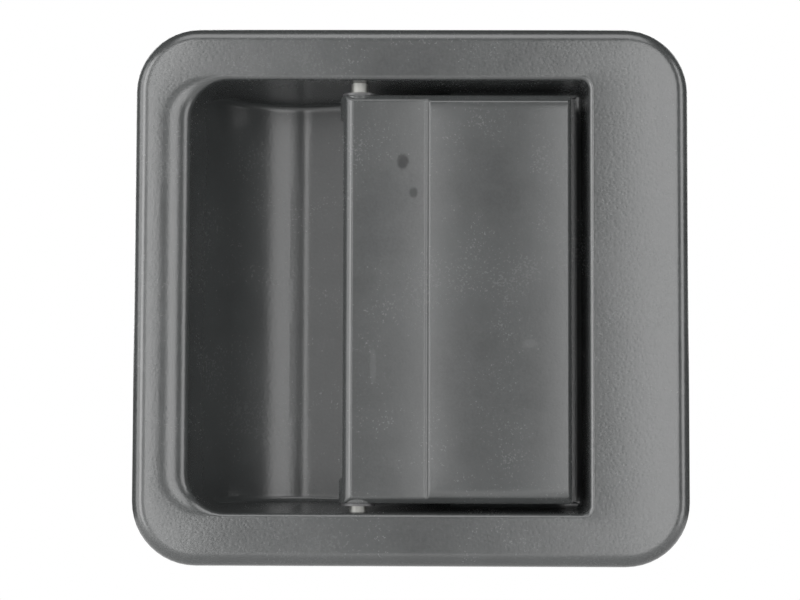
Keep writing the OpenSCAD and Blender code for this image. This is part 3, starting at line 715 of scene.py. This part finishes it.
def plate_shell(sizes):
    """The plate and recess as one closed thin-walled shell."""
    front = Recess(sizes, 0.0)
    back = Recess(sizes, sizes.wall)
    face = HOUSING_LOW.y
    seat = GASKET_LOW.y
    edge_chamfer = 0.0002
    pocket_chamfer = 0.0008
    rings = [plate_ring(sizes, 0, seat + edge_chamfer)]
    for step in range(11):
        a = math.radians(90 * step / 10)
        inset = sizes.rim * (1 - math.cos(a))
        rings.append(plate_ring(sizes, inset, face + sizes.rim * (1 - math.sin(a))))
    edge, normals = front.outline()
    width = front.lip(normals, sizes.lip_width)[:, None]
    depth = front.lip(normals, sizes.lip_left)
    for step in range(17):
        a = math.radians(90 * step / 16)
        points = edge + normals * width * (1 - math.sin(a))
        rings.append(ring_at(points, face + depth * (1 - math.cos(a))))
    inner, reach = front.rings()
    solid = Solid()
    solid.rings(rings + inner[1:])
    front.middle(solid, reach)
    pocket = face + sizes.wall
    behind = [
        plate_ring(sizes, 0, seat + edge_chamfer),
        plate_ring(sizes, edge_chamfer, seat),
        plate_ring(sizes, sizes.wall, seat),
        plate_ring(sizes, sizes.wall, pocket + pocket_chamfer),
        plate_ring(sizes, sizes.wall + pocket_chamfer, pocket),
    ]
    outer, reach = back.rings()
    edge, _ = back.outline()
    solid.rings(behind + [ring_at(edge, pocket)] + outer[1:])
    back.middle(solid, reach)
    return solid.make("escutcheon")


def mouldings_behind(sizes):
    """Ribs, pin blocks, stud bosses and hook lugs behind the plate."""
    solid = Solid()
    front = Recess(sizes, 0.0)
    wall = sizes.wall
    low = HOUSING_LOW.y + wall - 0.0003
    seat = GASKET_LOW.y
    rib = 0.0008
    soft = 0.0003
    boss_r = 0.007
    pin_cover = 0.0015
    block = 0.0045
    grip = PIN_HIGH.z - front.top
    for x in (front.left + 0.012, (HINGE[0] + front.step) / 2 + 0.008, front.right - 0.008):
        for side in (-1, 1):
            ends = sorted((side * (front.top + wall / 2), side * (HOUSING_HIGH.z - wall / 2)))
            soft_block(solid, (x - rib, low, ends[0]), (x + rib, seat, ends[1]), soft)
    for z in (-0.03, 0, 0.03):
        soft_block(solid, (HOUSING_LOW.x + wall / 2, low, z - rib),
                   (front.left - wall + soft, seat, z + rib), soft)
    for z in (-0.018, 0.018):
        soft_block(solid, (front.right + wall / 2, low, z - rib),
                   (HOUSING_HIGH.x - wall / 2, seat, z + rib), soft)
    for side in (-1, 1):
        ends = sorted((side * front.top, side * (front.top + grip + pin_cover)))
        soft_block(solid, (HINGE[0] - block, low, ends[0]), (HINGE[0] + block, seat, ends[1]),
                   2 * soft)
    stud_low, stud_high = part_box("mounting_studs")
    stud_x = (stud_low.x + stud_high.x) / 2
    for z in (stud_low.z, stud_high.z):
        middle = z - math.copysign((stud_high.x - stud_low.x) / 2 * math.cos(math.radians(30)), z)
        lathe(solid, [(low, boss_r), (seat - 0.0004, boss_r), (seat, boss_r - 0.0004)],
              (stud_x, 0, middle))
    lug_front = 0.0021
    for z in (-0.03, 0.03):
        section = [(-0.0055, 0.0003), (-0.0052, 0), (0.0023, 0), (0.0023, 0.0032),
                   (-0.0037, 0.0032), (-0.0042, 0.0030), (-0.0053, 0.0019), (-0.0055, 0.0014)]
        edge_x = front.left - wall
        rings = []
        for dz, inset in ((-0.006, 0.0003), (-0.0057, 0), (0.0057, 0), (0.006, 0.0003)):
            rings.append([
                (edge_x + x * (1 - inset / 0.006), lug_front + inset + y * (1 - inset / 0.0016),
                 z + dz) for x, y in section
            ])
        solid.tube(rings)
    return solid.make("mouldings_behind")


def floor_holes():
    """Cutters for the arm's slot and the hole that the hinge pin is pushed in through."""
    solid = Solid()
    low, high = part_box("arm_guide")
    flange = 0.0010
    soft_block(solid, (low.x + flange + 1e-5, low.y - 0.002, low.z + flange + 1e-5),
               (high.x - flange - 1e-5, high.y + 0.003, high.z - flange - 1e-5), 0.0001)
    lathe(solid, [(HOUSING_LOW.z - 0.002, 0.0022), (HOUSING_LOW.z + 0.0045, 0.0022)],
          (HINGE[0], HINGE[1], 0), "Z", 32)
    return solid.make("floor_holes")


class HANDLE_OT_plate(bpy.types.Operator):
    """Builds the moulded plate with its finger recess and the mouldings behind it"""

    bl_idname = "handle.plate"
    bl_label = "Plate and Recess"

    def execute(self, context):
        sizes = context.scene.handle_plate
        made = plate_shell(sizes)
        cut(made, floor_holes())
        join(made, mouldings_behind(sizes))
        shade(made, 40)
        place(made, "housing", "housing_plastic", MATERIALS["housing_plastic"], "housing")
        return {"FINISHED"}


# ---------------------------------------------------------------- paddle


def paddle_section(sizes):
    """Closed outline of the paddle across its hinge, as x and y."""
    left = PADDLE_LEFT
    right = SHELL_HIGH.x - sizes.right_chamfer
    low_y = SHELL_LOW.y + sizes.step
    high_y = SHELL_LOW.y
    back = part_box("paddle_inner_plate")[0].y
    r = sizes.edge / (1 - math.sin(math.radians(14)))
    flat = r * math.cos(math.radians(14))
    points = []
    for step in range(11):
        a = math.radians(180 + 76 * step / 10)
        points.append((left + r + r * math.cos(a), low_y + flat + r * math.sin(a)))
    points.append((points[-1][0] + 0.00015, low_y + 0.00001))
    ridge = left + sizes.left_facet
    for dx, dy in ((-0.0011, 0.0), (-0.0008, 0.00004), (-0.0005, 0.00016), (-0.0003, 0.00018)):
        points.append((ridge + dx, low_y + dy))
    for dx, dy in ((0.0, 0.00024), (0.00018, 0.00006), (0.0005, 0.0)):
        points.append((ridge + dx, high_y + dy))
    r = sizes.right_edge
    for step in range(7):
        a = math.radians(270 + 34 * step / 6)
        points.append((right + r * math.cos(a), high_y + r + r * math.sin(a)))
    drop = sizes.right_chamfer * 1.5
    for dx, dy in ((0.00018, -0.0003), (0.00005, 0.0), (0.0, 0.0003)):
        points.append((SHELL_HIGH.x - dx, high_y + drop + dy))
    points.append((SHELL_HIGH.x, back - 0.0004))
    points.append((SHELL_HIGH.x - 0.0004, back))
    r = 0.001
    for step in range(7):
        a = math.radians(90 + 90 * step / 6)
        points.append((left + r + r * math.cos(a), back - r + r * math.sin(a)))
    return points


def paddle_body(sizes, solid):
    """The paddle's bar and facets, with chamfered ends and softened chamfer edges."""
    section = paddle_section(sizes)
    front = SHELL_LOW.y + sizes.step
    low_z = SHELL_LOW.z
    high_z = SHELL_HIGH.z
    c = sizes.chamfer
    steps = [0.0, 0.00015, 0.0004, 0.0008, c - 0.0002, c, c + 0.0002, c + 0.0005]
    stations = [low_z + t for t in steps]
    stations += list(np.linspace(low_z + 0.004, high_z - 0.004, 24))
    stations += [high_z - t for t in reversed(steps)]
    rings = []
    for z in stations:
        t = min(z - low_z, high_z - z)
        limit = front + (c - t)
        shrink = max(0.00015 - t, 0)
        ring = []
        for x, y in section:
            y = -float(soft_min(np.array(-y), np.array(-limit), 0.0003))
            ring.append((x, min(y + shrink, -0.0010) if y < -0.0011 else y, z))
        rings.append(ring)
    solid.tube(rings)


class HANDLE_OT_paddle(bpy.types.Operator):
    """Builds the pull paddle with its step, chamfers and hinge knuckles"""

    bl_idname = "handle.paddle"
    bl_label = "Pull Paddle"

    def execute(self, context):
        sizes = context.scene.handle_paddle
        solid = Solid()
        paddle_body(sizes, solid)
        for end, way in ((SHELL_HIGH.z, -1), (SHELL_LOW.z, 1)):
            soft = 0.0004
            r = sizes.knuckle
            profile = [(end, r - soft), (end + way * soft * 0.3, r - soft * 0.3),
                       (end + way * soft, r), (end + way * (sizes.knuckle_length - soft), r),
                       (end + way * sizes.knuckle_length, r - soft)]
            lathe(solid, profile, (HINGE[0], HINGE[1], 0), "Z", 56)
        made = shade(solid.make("pull_paddle"), 35)
        place(made, "paddle", "paddle_plastic", MATERIALS["paddle_plastic"], "paddle_shell")
        return {"FINISHED"}


# ---------------------------------------------------------------- small pieces


def thread(solid, at, r, y0, y1, pitch, steps=28):
    """A screw thread along Y with a chamfered end, as one closed skin."""
    chamfer = 0.0008
    rows = int((y1 - y0) / pitch * 8)
    rings = []
    for row in range(rows + 1):
        y = y0 + (y1 - y0) * row / rows
        ring = []
        for step in range(steps):
            turn = step / steps
            wave = abs((y / pitch - turn) % 1 * 2 - 1)
            fade = min(1, (y - y0) / (2 * pitch))
            end = max(0, 1 - (y1 - y) / chamfer) * chamfer
            rr = r - 0.6 * pitch * fade * min(max(wave * 1.25 - 0.12, 0), 1) - end
            a = 2 * math.pi * turn
            ring.append((at[0] + rr * math.cos(a), y, at[1] + rr * math.sin(a)))
        rings.append(ring)
    solid.tube(rings)


class HANDLE_OT_studs(bpy.types.Operator):
    """Builds the two threaded mounting studs with their moulded-in heads"""

    bl_idname = "handle.studs"
    bl_label = "Mounting Studs"

    def execute(self, context):
        pitch = context.scene.handle_hardware.pitch
        low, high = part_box("mounting_studs")
        middle_x = (low.x + high.x) / 2
        mount = next(m for m in frame["record"]["mounts"] if m["name"] == "mounting_studs")
        half = mount["dims"]["spacing_y_mm"] * MM / 2
        r = mount["dims"]["stud_r_mm"] * MM
        solid = Solid()
        for z in (-half, half):
            lathe(solid, [(low.y, 0.0050), (low.y + 0.0002, 0.0055), (low.y + 0.0018, 0.0055),
                          (low.y + 0.002, 0.0050)], (middle_x, 0, z), "Y", 6)
            lathe(solid, [(low.y + 0.001, r + 0.0006), (-0.0005, r + 0.0006), (-0.0003, r + 0.0004)],
                  (middle_x, 0, z))
            thread(solid, (middle_x, z), r, low.y + 0.003, high.y, pitch)
        made = shade(solid.make("threaded_studs"), 40)
        place(made, "housing", "zinc_steel", MATERIALS["zinc_steel"], "mounting_studs")
        return {"FINISHED"}


class HANDLE_OT_buttons(bpy.types.Operator):
    """Builds the two rubber stops under the paddle's free edge"""

    bl_idname = "handle.buttons"
    bl_label = "Rubber Stops"

    def execute(self, context):
        low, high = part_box("bump_stops")
        r = (high.x - low.x) / 2
        middle_x = (low.x + high.x) / 2
        seat = HOUSING_LOW.y + context.scene.handle_plate.raised
        solid = Solid()
        for z in (low.z + r, high.z - r):
            profile = [(low.y, r * 0.45), (low.y + 0.00015, r * 0.75), (low.y + 0.0006, r * 0.93),
                       (low.y + 0.0013, r), (seat - 0.0002, r), (seat, r * 0.96),
                       (seat + 0.0001, 0.0020), (high.y - 0.0002, 0.0020), (high.y, 0.0018)]
            lathe(solid, profile, (middle_x, 0, z))
        made = shade(solid.make("rubber_stops"), 45)
        place(made, "housing", "rubber", MATERIALS["rubber"], "bump_stops")
        return {"FINISHED"}


class HANDLE_OT_spring(bpy.types.Operator):
    """Winds the return spring round the bellcrank's hub, with its two legs"""

    bl_idname = "handle.spring"
    bl_label = "Return Spring"

    def execute(self, context):
        sizes = context.scene.handle_hardware
        wire = sizes.wire
        pivot = JOINT_AT["bellcrank_pivot"]
        lever_low, lever_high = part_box("bellcrank")
        hub_r = 0.0055
        hub_play = 0.0003
        lever_x = lever_low.x + 0.001
        lever_thick = 0.003
        side_play = 0.00035
        r = hub_r + hub_play + 2 * wire
        x_start = lever_x + lever_thick + side_play + wire
        x_end = lever_high.x - 0.0002 - wire
        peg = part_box("lever_peg")
        peg_mid = Vector((0, (peg[0].y + peg[1].y) / 2, (peg[0].z + peg[1].z) / 2))
        up = (peg_mid - Vector((0, pivot.y, pivot.z))).normalized()
        front = Vector((0, -up.z, up.y))
        start_angle = math.atan2(front.z, front.y)
        end_angle = -math.pi / 2 - 2 * math.pi * sizes.turns
        hook_z = 0.013
        hook_y = 0.0035 + wire + 0.00015
        centre = Vector((0, pivot.y, pivot.z))
        bar = centre + up * hook_z + front * hook_y
        path = [bar + Vector((lever_x - 0.0004, 0, 0)),
                bar + Vector((x_start - 0.0012, 0, 0)), bar + Vector((x_start - 0.0004, 0, 0)),
                bar + Vector((x_start - 0.0001, 0, 0)) - up * 0.0003,
                bar + Vector((x_start, 0, 0)) - up * 0.0009]
        foot = centre + front * r + Vector((x_start, 0, 0))
        path += [path[-1].lerp(foot, t) for t in (0.25, 0.5, 0.75, 0.93)]
        count = 40 * sizes.turns
        sweep_angle = end_angle - start_angle
        while sweep_angle > -2 * math.pi * (sizes.turns - 0.5):
            sweep_angle -= 2 * math.pi
        for step in range(count + 1):
            t = step / count
            a = start_angle + sweep_angle * t
            x = x_start + (x_end - x_start) * t
            path.append(Vector((x, pivot.y + r * math.cos(a), pivot.z + r * math.sin(a))))
        base_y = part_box("lever_bracket")[0].y + 0.002 + wire
        last = path[-1]
        leg = last.y - base_y
        path += [last + Vector((0, -leg * t, 0)) for t in (0.15, 0.4, 0.7, 0.92)]
        solid = Solid()
        sweep(solid, path, wire)
        made = shade(solid.make("torsion_spring"), 60)
        made.data.materials.append(MATERIALS["spring_steel"])
        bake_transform(made)
        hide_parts("return_spring")
        return {"FINISHED"}


KEPT_NODES = {
    "gasket": "foam",
    "hinge_pin": "zinc_steel",
    "arm_guide": "acetal",
    "threaded_inserts": "brass",
    "lever_bracket": "zinc_steel",
    "bracket_screws": "zinc_steel",
    "bracket_washers": "spring_steel",
    "pivot_pin": "zinc_steel",
    "pivot_clip": "spring_steel",
    "paddle_inner_plate": "zinc_steel",
    "paddle_screws": "zinc_steel",
    "hinge_bushes": "black_acetal",
    "release_arm": "zinc_steel",
    "arm_screws": "zinc_steel",
    "hook_pin": "zinc_steel",
    "bellcrank": "zinc_steel",
    "lever_bush": "acetal",
    "lever_peg": "zinc_steel",
    "rod_clip": "acetal",
}


class HANDLE_OT_finishes(bpy.types.Operator):
    """Gives every machined and pressed part its finish"""

    bl_idname = "handle.finishes"
    bl_label = "Metal and Acetal Finishes"

    def execute(self, context):
        for node, slot in KEPT_NODES.items():
            made = frame["nodes"][node]
            if not made.material_slots:
                made.data.materials.append(None)
            for material_slot in made.material_slots:
                material_slot.material = MATERIALS.get(node, MATERIALS[slot])
        return {"FINISHED"}


# ---------------------------------------------------------------- stage


# Name, azimuth and elevation in degrees, width and height in metres, and brightness
SOFTBOXES = (
    ("far_left", -75, 5, 0.34, 1.0, 4.0),
    ("left", -50, 6, 0.32, 1.0, 8.0),
    ("near_left", -28, 6, 0.20, 1.0, 2.0),
    ("inner_left", -15, 4, 0.13, 1.0, 8.5),
    ("inner_right", 12, 0, 0.12, 1.0, 7.0),
    ("near_right", 24, 0, 0.22, 1.2, 5.0),
    ("far_right", 66, 0, 0.34, 1.2, 5.0),
    ("top", 0, 62, 0.8, 0.5, 4.0),
    ("back_left", -150, 20, 0.6, 0.6, 3.0),
    ("back_right", 150, 20, 0.6, 0.6, 3.0),
)


def soft_light(name, azimuth, elevation, width, height, level, reach):
    """A softbox that points at the handle."""
    data = bpy.data.lights.new(name, "AREA")
    data.shape = "RECTANGLE"
    data.size = width
    data.size_y = height
    data.energy = level * math.pi * width * height
    lamp = bpy.data.objects.new(name, data)
    turn = math.radians(azimuth)
    lift = math.radians(elevation)
    away = Vector((math.sin(turn) * math.cos(lift), -math.cos(turn) * math.cos(lift),
                   math.sin(lift)))
    lamp.location = away * reach
    lamp.rotation_euler = (-away).to_track_quat("-Z", "Y").to_euler()
    bpy.context.collection.objects.link(lamp)


class HANDLE_OT_stage(bpy.types.Operator):
    """Sets up the pale floor, the soft light and the camera"""

    bl_idname = "handle.stage"
    bl_label = "Studio"

    def execute(self, context):
        studio = context.scene.handle_studio
        floor_drop = 0.25
        floor_z = CAD_LOW[2] - floor_drop
        mesh = bpy.data.meshes.new("studio_floor")
        reach = 1.1
        mesh.from_pydata([(-reach, -reach, floor_z), (reach, -reach, floor_z),
                          (reach, reach, floor_z), (-reach, reach, floor_z)], [], [(0, 1, 2, 3)])
        floor = bpy.data.objects.new("studio_floor", mesh)
        context.collection.objects.link(floor)
        pale = Nodes("pale_floor")
        tone = pale.tint(pale.noise(0.4, 2), (0.80, 0.80, 0.80), (0.84, 0.84, 0.84))
        pale.link(tone, pale.shader.inputs["Base Color"])
        pale.shader.inputs["Roughness"].default_value = 0.9
        pale.shader.inputs["Emission Color"].default_value = (1, 1, 1, 1)
        # The floor stays pale where the softboxes no longer reach it
        from_middle = pale.node("ShaderNodeVectorMath", operation="LENGTH")
        pale.link(pale.coords, from_middle.inputs[0])
        pale.link(pale.span(from_middle.outputs["Value"], 0.35, 1.0, 0.0, 0.75),
                  pale.shader.inputs["Emission Strength"])
        mesh.materials.append(pale.material)

        world = context.scene.world or bpy.data.worlds.new("surround")
        context.scene.world = world
        world.use_nodes = True
        tree = world.node_tree
        background = tree.nodes["Background"]
        background.inputs["Color"].default_value = (1, 1, 1, 1)
        # White behind the handle, but only a little light from it
        path = tree.nodes.new("ShaderNodeLightPath")
        level = tree.nodes.new("ShaderNodeMapRange")
        level.inputs["To Min"].default_value = studio.world
        level.inputs["To Max"].default_value = 1.0
        tree.links.new(path.outputs["Is Camera Ray"], level.inputs["Value"])
        tree.links.new(level.outputs["Result"], background.inputs["Strength"])
        context.scene.view_settings.view_transform = "Standard"

        for softbox in SOFTBOXES:
            soft_light(*softbox, studio.reach)

        camera = bpy.data.objects.new("camera", bpy.data.cameras.new("camera"))
        context.collection.objects.link(camera)
        camera.data.lens = studio.lens
        camera.data.sensor_width = 36
        camera.data.clip_start = 0.01
        aim = Vector((studio.aim_x, HOUSING_LOW.y, studio.aim_z))
        level = math.cos(studio.elevation)
        away = Vector((math.sin(studio.azimuth) * level, -math.cos(studio.azimuth) * level,
                       math.sin(studio.elevation)))
        camera.location = aim + away * studio.distance
        turn = (-away).to_track_quat("-Z", "Y") @ Matrix.Rotation(studio.roll, 4, "Z").to_quaternion()
        camera.rotation_euler = turn.to_euler()
        context.scene.camera = camera
        return {"FINISHED"}


class HANDLE_PT_panel(bpy.types.Panel):
    """Lists the sizes and the pieces in the sidebar"""

    bl_label = "Door Handle"
    bl_idname = "HANDLE_PT_panel"
    bl_space_type = "VIEW_3D"
    bl_region_type = "UI"
    bl_category = "Door Handle"

    def draw(self, context):
        for name in GROUPS:
            group = getattr(context.scene, name)
            box = self.layout.box()
            box.label(text=name.replace("handle_", "").title())
            for key in group.bl_rna.properties.keys():
                if key not in ("rna_type", "name"):
                    box.prop(group, key)
        for operator in STEPS:
            self.layout.operator(operator.bl_idname)


GROUPS = {
    "handle_plate": PlateSizes,
    "handle_paddle": PaddleSizes,
    "handle_hardware": HardwareSizes,
    "handle_finishes": Finishes,
    "handle_studio": Studio,
}
STEPS = (
    HANDLE_OT_stage,
    HANDLE_OT_plate,
    HANDLE_OT_paddle,
    HANDLE_OT_studs,
    HANDLE_OT_buttons,
    HANDLE_OT_spring,
    HANDLE_OT_finishes,
)


def register():
    """Registers the settings, the operators and the panel."""
    for name, group in GROUPS.items():
        bpy.utils.register_class(group)
        setattr(bpy.types.Scene, name, PointerProperty(type=group))
    for operator in STEPS:
        bpy.utils.register_class(operator)
    bpy.utils.register_class(HANDLE_PT_panel)


def unregister():
    """Removes what register added."""
    bpy.utils.unregister_class(HANDLE_PT_panel)
    for operator in reversed(STEPS):
        bpy.utils.unregister_class(operator)
    for name, group in GROUPS.items():
        delattr(bpy.types.Scene, name)
        bpy.utils.unregister_class(group)


def main():
    """Builds the whole handle."""
    register()
    make_materials(bpy.context.scene.handle_finishes)
    for operator in STEPS:
        group, name = operator.bl_idname.split(".")
        getattr(getattr(bpy.ops, group), name)()


if __name__ == "__main__":
    main()
